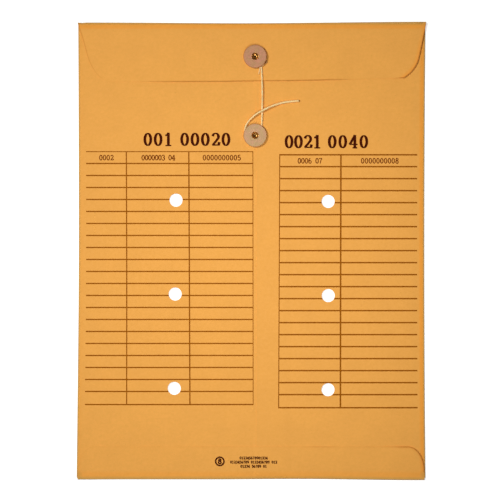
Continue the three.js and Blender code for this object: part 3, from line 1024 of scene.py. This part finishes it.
def eyelet(seat, body, node, layers):
    """A brass eyelet: a funnel in the button's face, and its other end rolled over the washer."""
    top = EYELET_TOP
    roll_top = -layers - ROLL_GAP
    profile = [(EYELET_BORE, roll_top - ROLL)]
    profile += bend(EYELET_BORE + ROLL, roll_top - ROLL, ROLL, -2, -1)
    profile += bend(ROLL_RADIUS - ROLL, roll_top - ROLL, ROLL, -1, 1, 10)
    profile += [(BARREL_RADIUS, roll_top), (BARREL_RADIUS, top - 1.0), (2.0, top - 0.62)]
    profile += bend(FUNNEL_RADIUS - LIP, top - LIP, LIP, -0.5, 1)
    profile += [(FUNNEL_RADIUS - r, top - depth) for r, depth in THROAT]
    profile.append((EYELET_BORE, top - 2.1))

    def wobble(radius, angle, height):
        dent = 0.02 * math.sin(3 * angle + 1) + 0.015 * math.sin(7 * angle)
        return radius + dent * (radius > 2), height

    piece = lathe(f"{node}_brass", profile, BRASS, seat, 96, wobble)
    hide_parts(node)
    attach(piece, body)


button_disc(UPPER_SEAT, UPPER_FIBRE, "upper_disc", "upper_button", 3)
button_disc(LOWER_SEAT, LOWER_FIBRE, "lower_disc", "lower_button", 11)
eyelet(UPPER_SEAT, "flap", "upper_eyelet", PAPER)
eyelet(LOWER_SEAT, "root", "lower_eyelet", 2 * PAPER + GUM)
for node in ("upper_backing_washer", "lower_backing_washer"):
    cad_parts[node].data.materials.clear()
    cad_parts[node].data.materials.append(BOARD)


# String

STRING_RADIUS = 0.6
LIFT = STRING_ROOM / 2
TURN_RADIUS = 4.55
PLY_PITCH = 3.1
PLY_DEPTH = 0.14
STRING_STEP = 0.16
LOOSE_LENGTH, LOOSE_SWELL = 48.0, 0.32


def around_axis(radius, degrees):
    angle = math.radians(degrees)
    return (radius * math.cos(angle), radius * math.sin(angle), LIFT)


def tie_route():
    offsets = [(4.6, -4.05, LIFT)]
    offsets += [around_axis(TURN_RADIUS, angle) for angle in np.arange(-12, 272.1, 15.8)]
    return [UPPER_SEAT + offset for offset in [*offsets, (2.7, -4.95, LIFT)]]


def cord_route():
    """The string from its knot: down to the lower button, round its hub, up and over itself, to its end."""
    upper = [(4.5, -7.25, LIFT), (4.65, -9.8, 0.69), (4.85, -13.3, 0.75), (5.0, -17.3, 0.85)]
    lower = [(5.2, 31.35, 1.75), (5.15, 20.35, 1.35), (4.9, 11.35, 0.9), (4.8, 8.85, LIFT)]
    lower += [(4.7, 6.65, LIFT), (4.6, 4.75, LIFT)]
    for share in np.arange(1, 12) / 12:
        lower.append(around_axis(TURN_RADIUS + 3 * share * share, -180 * share))
    lower += [(-7.5, 1.55, LIFT), (-7.5, 3.15, LIFT), (-7.35, 4.9, LIFT)]
    lower += [(-6.7, 6.9, LIFT), (-5.1, 9.75, 1.0), (-2.75, 12.4, 1.5), (0.2, 14.9, 2.1)]
    lower += [(5.35, 18.0, 2.6), (11.75, 21.0, 2.05), (18.3, 23.3, 1.25), (24.9, 24.5, 0.8)]
    lower.append((31.5, 25.1, 0.75))
    return [UPPER_SEAT + offset for offset in upper] + [LOWER_SEAT + offset for offset in lower]


def frames_along(path):
    """Two directions across the path at each of its points, carried along without twisting."""
    tangents = np.gradient(path, axis=0)
    tangents /= norm(tangents, axis=1)[:, None]
    across = np.cross(tangents[0], (0.0, 0.0, 1.0))
    across /= norm(across)
    firsts = []
    for tangent in tangents:
        across = across - tangent * (across @ tangent)
        across /= norm(across)
        firsts.append(across)
    return firsts, np.cross(tangents, firsts)


def lengths_along(path):
    return np.concatenate([[0], np.cumsum(norm(np.diff(path, axis=0), axis=1))])


def twisted_string(name, path, radius=STRING_RADIUS, around=24, loosened=0.0, material=COTTON):
    """A three-ply string along a path, closed at both ends. Its plies swell where they have loosened."""
    first, second = frames_along(path)
    run = lengths_along(path)
    vertices, uvs, faces = [], [], []
    for i, centre in enumerate(path):
        twist = 2 * math.pi * run[i] / PLY_PITCH
        thin = 1 + 0.035 * math.sin(run[i] * 1.7 + 0.4) + 0.02 * math.sin(run[i] * 4.1)
        if loosened:
            thin += LOOSE_SWELL * smooth(run[i], run[-1] - loosened, run[-1] - 2)
        for angle in np.linspace(0, 2 * math.pi, around, endpoint=False):
            groove = 1 - abs(math.cos(1.5 * (angle - twist)))
            r = radius * thin * (1 - PLY_DEPTH * groove ** 1.6)
            vertices.append(centre + r * (math.cos(angle) * first[i] + math.sin(angle) * second[i]))
            uvs.append((angle * radius + twist * 0.2, run[i]))
    last = (len(path) - 1) * around
    following = [(k, (k + 1) % around) for k in range(around)]
    for ring in range(0, last, around):
        faces += [(ring + k, ring + n, ring + around + n, ring + around + k) for k, n in following]
    for ring, end, before, order in ((0, 0, 1, -1), (last, -1, -2, 1)):
        faces += [(ring + k, ring + n, len(vertices))[::order] for k, n in following]
        vertices.append(path[end] + (path[end] - path[before]) * 0.8)
        uvs.append((0, run[end]))
    return make_piece(name, vertices, faces, material, uvs)


# A loop of the knot that peeps out from under the upper button, coloured with painted shade for the button's
# shadow: radius and degrees round its axis
KNOT_LOOP = [(7.0, -43), (8.2, -37), (9.1, -31.5), (9.4, -27), (9.1, -22.5), (8.2, -20), (7.0, -19)]
# How far the knot's turns reach in x, y and z, where its spread adds or takes nothing
KNOT_REACH = (0.945, 0.85, 0.22)
KNOT_SPREAD = 0.25
# The steps in its whole round, of which the last few are left out so that its ends don't meet
KNOT_STEPS, KNOT_OPEN = 180, 3


def knot_lump(centre):
    """The knot: a few tight crossing turns of string, flattened under the button."""
    turns = 2 * math.pi * np.arange(KNOT_STEPS - KNOT_OPEN) / KNOT_STEPS
    spread = 1 + KNOT_SPREAD * np.cos(3 * turns)
    loops = [np.cos(2 * turns) * spread, np.sin(2 * turns) * spread, np.sin(3 * turns)]
    return twisted_string("knot_turns", centre + np.stack(loops, 1) * KNOT_REACH, 0.42, 14)


FRAY_SPREAD = 0.22
FRAY_SIDES = 5


def frayed_end(name, path, count=16, seed=4, material=COTTON):
    """Loose fibres that splay from the cut end of the string."""
    generator = np.random.default_rng(seed)
    tip, direction = path[-1], path[-1] - path[-4]
    direction = direction / norm(direction)
    up = np.array([0, 0, 1.0])
    side = np.cross(direction, up)
    around = range(FRAY_SIDES)
    vertices, faces, uvs = [], [], []
    for _ in range(count):
        offset = generator.normal(size=3) * FRAY_SPREAD
        offset -= direction * (offset @ direction)
        splay = generator.normal(size=3) * FRAY_SPREAD
        length = 0.7 + generator.random() * 0.9
        start = tip - direction * 0.25 + offset
        middle = start + direction * length * 0.55 + splay * 0.25
        end = start + direction * length + splay * length
        end[2] = max(end[2], SEAM_TOP + 0.1)
        first, second = len(vertices), len(vertices) + FRAY_SIDES
        for place, thick in ((start, 0.1), (middle, 0.07)):
            for turn in around:
                a = 2 * math.pi * turn / FRAY_SIDES
                vertices.append(place + thick * (math.cos(a) * side + math.sin(a) * up))
                uvs.append((a * 0.05, length))
        for turn in around:
            n = (turn + 1) % FRAY_SIDES
            faces.append((first + turn, second + turn, second + n, first + n))
            faces.append((second + turn, len(vertices), second + n))
        faces.append(tuple(first + turn for turn in around))
        vertices.append(end)
        uvs.append((0, length * 2))
    return make_piece(name, vertices, faces, material, uvs)


def make_string():
    path = spline(cord_route(), STRING_STEP)
    length = lengths_along(path)[-1]
    cord = twisted_string("string", path, loosened=LOOSE_LENGTH)
    tie = twisted_string("string_loop", spline(tie_route(), STRING_STEP))
    lump = knot_lump(UPPER_SEAT + (4.95, -5.75, LIFT))
    offsets = [(4.05, -5.9, LIFT), (3.6, -7.6, 0.6), (3.2, -9.6, 0.5), (2.8, -12.0, 0.42)]
    short = spline([UPPER_SEAT + offset for offset in offsets], STRING_STEP)
    short_end = twisted_string("string_short_end", short, 0.36)
    nub = spline([UPPER_SEAT + (*around_axis(r, a)[:2], 0.5) for r, a in KNOT_LOOP], STRING_STEP)
    # The knot loop is coloured with painted shade, for the button's shadow on it.
    nub = twisted_string("string_knot_loop", nub, 0.45, material=SHADED_COTTON)
    # The fibres at the bare end are coloured with painted shade.
    fray = frayed_end("string_fray", path, material=SHADED_COTTON)
    short_fray = frayed_end("string_short_fray", short, 9, 8)
    loose = [tie, lump, short_end, nub, fray, short_fray]
    for piece in [cord, *loose]:
        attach(piece, "flap")
    # The string and its frayed end each get a mesh of their own.
    for piece in (cord, fray):
        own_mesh(piece)
    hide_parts("string_run", "string_turn", "string_tail")
    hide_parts("string_tie")
    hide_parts("string_knot")
    print(f"string {length:.1f} mm from the knot to its bare end")


make_string()


# Print: ruled tables and plain numbers, as thin coats of ink on the paper

INK_LIFT = 0.006
INK_THICKNESS = 0.014


def bar(start, end, width):
    """A straight stroke as a polygon, with points along it so that it can follow the paper."""
    start, end = np.array(start, float), np.array(end, float)
    length = norm(end - start)
    along = (end - start) / length
    side = np.array([-along[1], along[0]]) * width / 2
    centres = start + (end - start) * np.linspace(0, 1, max(2, round(length) + 1))[:, None]
    return np.concatenate([centres + side, (centres - side)[::-1]])


def print_piece(name, polygons, ink, holes=(), level=back_top):
    """One coat of ink over all the polygons, drawn together, that follows the paper's outside."""
    points, edges, inked = [], [], []
    for polygon in polygons:
        x, y = polygon.T
        doubled_area = np.sum(x * np.roll(y, -1) - np.roll(x, -1) * y)
        corners = range(len(points), len(points) + len(polygon))
        inked.append(list(corners if doubled_area > 0 else reversed(corners)))
        points += list(polygon)
    for hole in holes:
        add_loop(points, edges, circle(*hole))
    places, faces, middles = delaunay(points, edges, inked, 1e-6)

    def surface(x, y):
        return laid(x, y, level(x, y) + INK_LIFT + INK_THICKNESS / 2)

    piece = sheet_piece(name, (places, faces[clear_of(middles, holes)]), surface, INK_THICKNESS, ink)
    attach(piece, "root")


ROW_COUNT = 20
ROW_PITCH = 8.715
LAST_ROW = 9.5
HEAD_HEIGHT = 8.6
TILT_TOP, TILT_BOTTOM = 61.2, -89.3
# Where each column line crosses those two heights, and its share of the width of the rows' lines
LEFT_COLUMNS = [(-91.3, -90.8, 0.9), (-45.6, -44.9, 1.0), (0.95, 1.1, 0.58)]
RIGHT_COLUMNS = [(20.4, 19.75, 0.66), (65.0, 64.65, 1.1)]
# Where the rows end on the sides of the tables that are left open
LEFT_OPEN, RIGHT_OPEN = (-121.05, -121.05), (121.2, 121.2)
LEFT_TOP, RIGHT_TOP = 71.95, 69.65
LEFT_LINE, RIGHT_LINE = 0.94, 1.04


def table(name, top, columns, ends, line, top_share, holes):
    """A ruled table: a head row and 20 rows, with one side left open. Its columns lean a little.

    ends is where the rows start and end. top_share is the top line's share of the others' width.
    """
    rows = [top, *(top - HEAD_HEIGHT - ROW_PITCH * row for row in range(ROW_COUNT))]
    rows.append(rows[-1] - LAST_ROW)
    widths = [line * top_share] + [line] * (len(rows) - 1)
    high, low = rows[0] + widths[0] / 2, rows[-1] - widths[-1] / 2

    def crossing(column, y):
        upper, lower = column[:2]
        return lower + (upper - lower) * (y - TILT_BOTTOM) / (TILT_TOP - TILT_BOTTOM), y

    polygons = [bar(*(crossing(end, y) for end in ends), width) for y, width in zip(rows, widths)]
    polygons += [bar(crossing(column, high), crossing(column, low), line * column[2]) for column in columns]
    print_piece(name, polygons, LINE_INK, [(place, HOLE_RADIUS + 0.02) for place in holes])


def arc(x, y, rx, ry, first, last, count=18):
    angles = np.radians(np.linspace(first, last, count))
    return [(x + rx * math.cos(a), y + ry * math.sin(a)) for a in angles]


# Each numeral as the centre lines of its strokes, on a square of height 1
NUMERALS = {
    "0": [arc(0.33, 0.5, 0.23, 0.45, 0, 360, 30)],
    "1": [
        [(0.33, 0.02), (0.33, 0.98)],
        [(0.33, 0.95), (0.24, 0.86), (0.12, 0.8)],
        [(0.12, 0.03), (0.54, 0.03)],
    ],
    "2": [
        arc(0.33, 0.71, 0.22, 0.25, 165, -35) + [(0.34, 0.34), (0.12, 0.08)],
        [(0.08, 0.07), (0.56, 0.07), (0.6, 0.26)],
    ],
    "3": [arc(0.32, 0.73, 0.2, 0.23, 150, -80), arc(0.31, 0.27, 0.24, 0.25, 88, -150)],
    "4": [
        [(0.44, 0.97), (0.07, 0.3), (0.64, 0.3)],
        [(0.45, 0.98), (0.45, 0.02)],
        [(0.28, 0.03), (0.62, 0.03)],
    ],
    "5": [[(0.52, 0.95), (0.17, 0.93), (0.14, 0.52)], arc(0.32, 0.31, 0.24, 0.29, 128, -150)],
    "6": [arc(0.34, 0.29, 0.22, 0.26, 0, 360, 26), arc(0.44, 0.45, 0.33, 0.51, 180, 100, 10)],
    "7": [[(0.1, 0.84), (0.12, 0.94), (0.56, 0.94), (0.36, 0.5), (0.28, 0.02)]],
    "8": [arc(0.33, 0.74, 0.18, 0.22, 0, 360, 24), arc(0.33, 0.27, 0.22, 0.25, 0, 360, 26)],
    "9": [arc(0.32, 0.71, 0.22, 0.26, 0, 360, 26), arc(0.22, 0.55, 0.33, 0.51, 0, -80, 10)],
    " ": [],
}


def unit(vectors):
    return vectors / norm(vectors, axis=1)[:, None]


CORNER_COSINE = 0.8
END_REACH = 0.18


def smooth_runs(line):
    """A stroke, split where it turns a corner."""
    steps = unit(np.diff(line, axis=0))
    cosines = (steps[:-1] * steps[1:]).sum(1)
    cuts = [0, *(np.flatnonzero(cosines < CORNER_COSINE) + 1), len(line) - 1]
    return [line[a : b + 1].copy() for a, b in zip(cuts, cuts[1:])]


def stroke_polygons(line, thin, thick):
    """Four-sided pieces of a smooth stroke, which is thick where it is upright and thin where level."""
    along = unit(np.gradient(line, axis=0))
    closed = np.allclose(line[0], line[-1])
    if closed:
        along[[0, -1]] = unit((line[1] - line[-2])[None])
    widths = (thin + (thick - thin) * np.abs(along[:, 1]) ** 1.5)[:, None]
    if not closed:
        line[0] -= along[0] * widths[0] * END_REACH
        line[-1] += along[-1] * widths[-1] * END_REACH
    side = np.stack([-along[:, 1], along[:, 0]], 1) * widths / 2
    polygons = []
    for a, b, first, second in zip(line, line[1:], side, side[1:]):
        if abs((second - first) @ (b - a)) > 0.9 * (b - a) @ (b - a):
            first = second = (first + second) / 2
        polygons.append(np.array([a - first, b - second, b + second, a + first]))
    return polygons


def numerals(text, left, baseline, height, thin, thick, advance=0.66):
    """Polygons for a row of numerals. advance is from one to the next, as a share of their height."""
    polygons = []
    for place, digit in enumerate(text):
        origin = np.array([left + place * advance * height, baseline])
        for stroke in NUMERALS[digit]:
            for line in smooth_runs(origin + np.array(stroke) * height):
                polygons += stroke_polygons(line, thin, thick)
    return polygons


def centred(text, middle, baseline, height, thin, thick, advance):
    left = middle - (len(text) - 0.34) * advance * height / 2
    return numerals(text, left, baseline, height, thin, thick, advance)


# Plain numbers where the photograph has words: (text, middle, baseline, advance)
LEFT_HEAD, RIGHT_HEAD = LEFT_TOP - 6.3, RIGHT_TOP - 6.3
TITLES = [
    ("001", -68.7, 76.1, 0.79), ("00020", -34.3, 76.1, 0.79),
    ("0021", 36.6, 74.4, 0.72), ("0040", 69.6, 74.4, 0.81),
]
HEADS = [
    ("0002", -106.4, LEFT_HEAD, 0.7), ("0000003 04", -68.4, LEFT_HEAD, 0.63),
    ("0000000005", -22.0, LEFT_HEAD, 0.72), ("0006 07", 42.0, RIGHT_HEAD, 0.66),
    ("0000000008", 93.2, RIGHT_HEAD, 0.72),
]


def number_print(name, ink, rows, height, thin, thick):
    polygons = []
    for text, middle, baseline, advance in rows:
        polygons += centred(text, middle, baseline, height, thin, thick, advance)
    print_piece(name, polygons, ink)


def ring_polygons(centre, outer, inner, count=40):
    """A ring as a row of short wedges."""
    angles = np.linspace(0, 2 * math.pi, count + 1)
    around = np.stack([np.cos(angles), np.sin(angles)], 1)
    out, within = centre + outer * around, centre + inner * around
    return [np.array([within[i], out[i], out[i + 1], within[i + 1]]) for i in range(count)]


MARK_CENTRE = np.array([-23.1, -153.0])
MARK_NUMERAL = (-24.35, -154.85)
FOOT_ROWS = ["012345678901234", "0123456789 0123456789 012", "01234 56789 01"]
FOOT_MIDDLE, FOOT_START, FOOT_PITCH = 1.3, -151.5, 3.0


def foot_print():
    """Three small rows of plain numbers and a number in a ring, on the bottom flap."""
    polygons = ring_polygons(MARK_CENTRE, 3.6, 2.5) + numerals("8", *MARK_NUMERAL, 3.8, 0.85, 1.1)
    for row, text in enumerate(FOOT_ROWS):
        polygons += centred(text, FOOT_MIDDLE, FOOT_START - FOOT_PITCH * row, 1.9, 0.5, 0.56, 0.72)

    def level(x, y):
        return BOTTOM_FLAP_TOP + bottom_flap_rise(x, y)

    print_piece("foot_print", polygons, HEAVY_INK, (), level)


left_ends, right_ends = (LEFT_OPEN, LEFT_COLUMNS[-1]), (RIGHT_COLUMNS[0], RIGHT_OPEN)
table("left_table_print", LEFT_TOP, LEFT_COLUMNS, left_ends, LEFT_LINE, 0.7, LEFT_HOLES)
table("right_table_print", RIGHT_TOP, RIGHT_COLUMNS, right_ends, RIGHT_LINE, 1.0, RIGHT_HOLES)
number_print("title_print", HEAVY_INK, TITLES, 9.5, 0.95, 2.05)
number_print("head_print", TEXT_INK, HEADS, 3.9, 0.6, 0.7)
foot_print()


# Floor, light and world

# The floor's width is in metres.
FLOOR_SIZE = 6.0
FLOOR_DROP = 0.02
FLOOR_GREY = 0.8
# What the camera sees the floor glow with, so that it is white as in the photograph
FLOOR_GLOW = 0.58
KEY_POWER = 21.9
OVERHEAD_POWER = 0.44
WORLD_LEVEL = 0.1


def make_floor():
    half = FLOOR_SIZE / 2
    mesh = bpy.data.meshes.new("floor")
    corners = [(-half, -half), (half, -half), (half, half), (-half, half)]
    mesh.from_pydata([(x, y, -FLOOR_DROP * MM) for x, y in corners], [], [(0, 1, 2, 3)])
    floor = add_object("floor", mesh)
    shader = Shader("floor")
    path = shader.node("LightPath").outputs
    seen = shader.math("MAXIMUM", path["Is Camera Ray"], path["Is Glossy Ray"])
    seen = shader.math("MAXIMUM", seen, path["Is Transmission Ray"])
    matte = shader.node("BsdfDiffuse", {"Color": (FLOOR_GREY,) * 3})
    strength = shader.math("MULTIPLY", seen, FLOOR_GLOW)
    glow = shader.node("Emission", {"Color": (1.0, 1.0, 1.0), "Strength": strength})
    both = shader.node("AddShader", {0: matte.outputs[0], 1: glow.outputs[0]})
    shader.tree.links.new(both.outputs[0], shader.output.inputs["Surface"])
    mesh.materials.append(shader.material)


def make_lamp(name, place, size, power):
    """A square area lamp that faces the middle of the envelope. Its place and size are in metres."""
    data = bpy.data.lights.new(name, "AREA")
    data.shape = "SQUARE"
    data.size = size
    data.energy = power
    lamp = add_object(name, data)
    lamp.location = place
    lamp.rotation_euler = (-Vector(place)).to_track_quat("-Z", "Y").to_euler()


def make_world():
    world = bpy.data.worlds.new("studio")
    world.use_nodes = True
    background = world.node_tree.nodes["Background"]
    background.inputs["Color"].default_value = (1, 1, 1, 1)
    background.inputs["Strength"].default_value = WORLD_LEVEL
    bpy.context.scene.world = world


make_floor()
make_lamp("key", (-1.0, 0.42, 1.72), 0.22, KEY_POWER)
make_lamp("overhead", (0.0, -0.02, 0.31), 0.14, OVERHEAD_POWER)
make_world()
bpy.context.scene.view_settings.view_transform = "Standard"
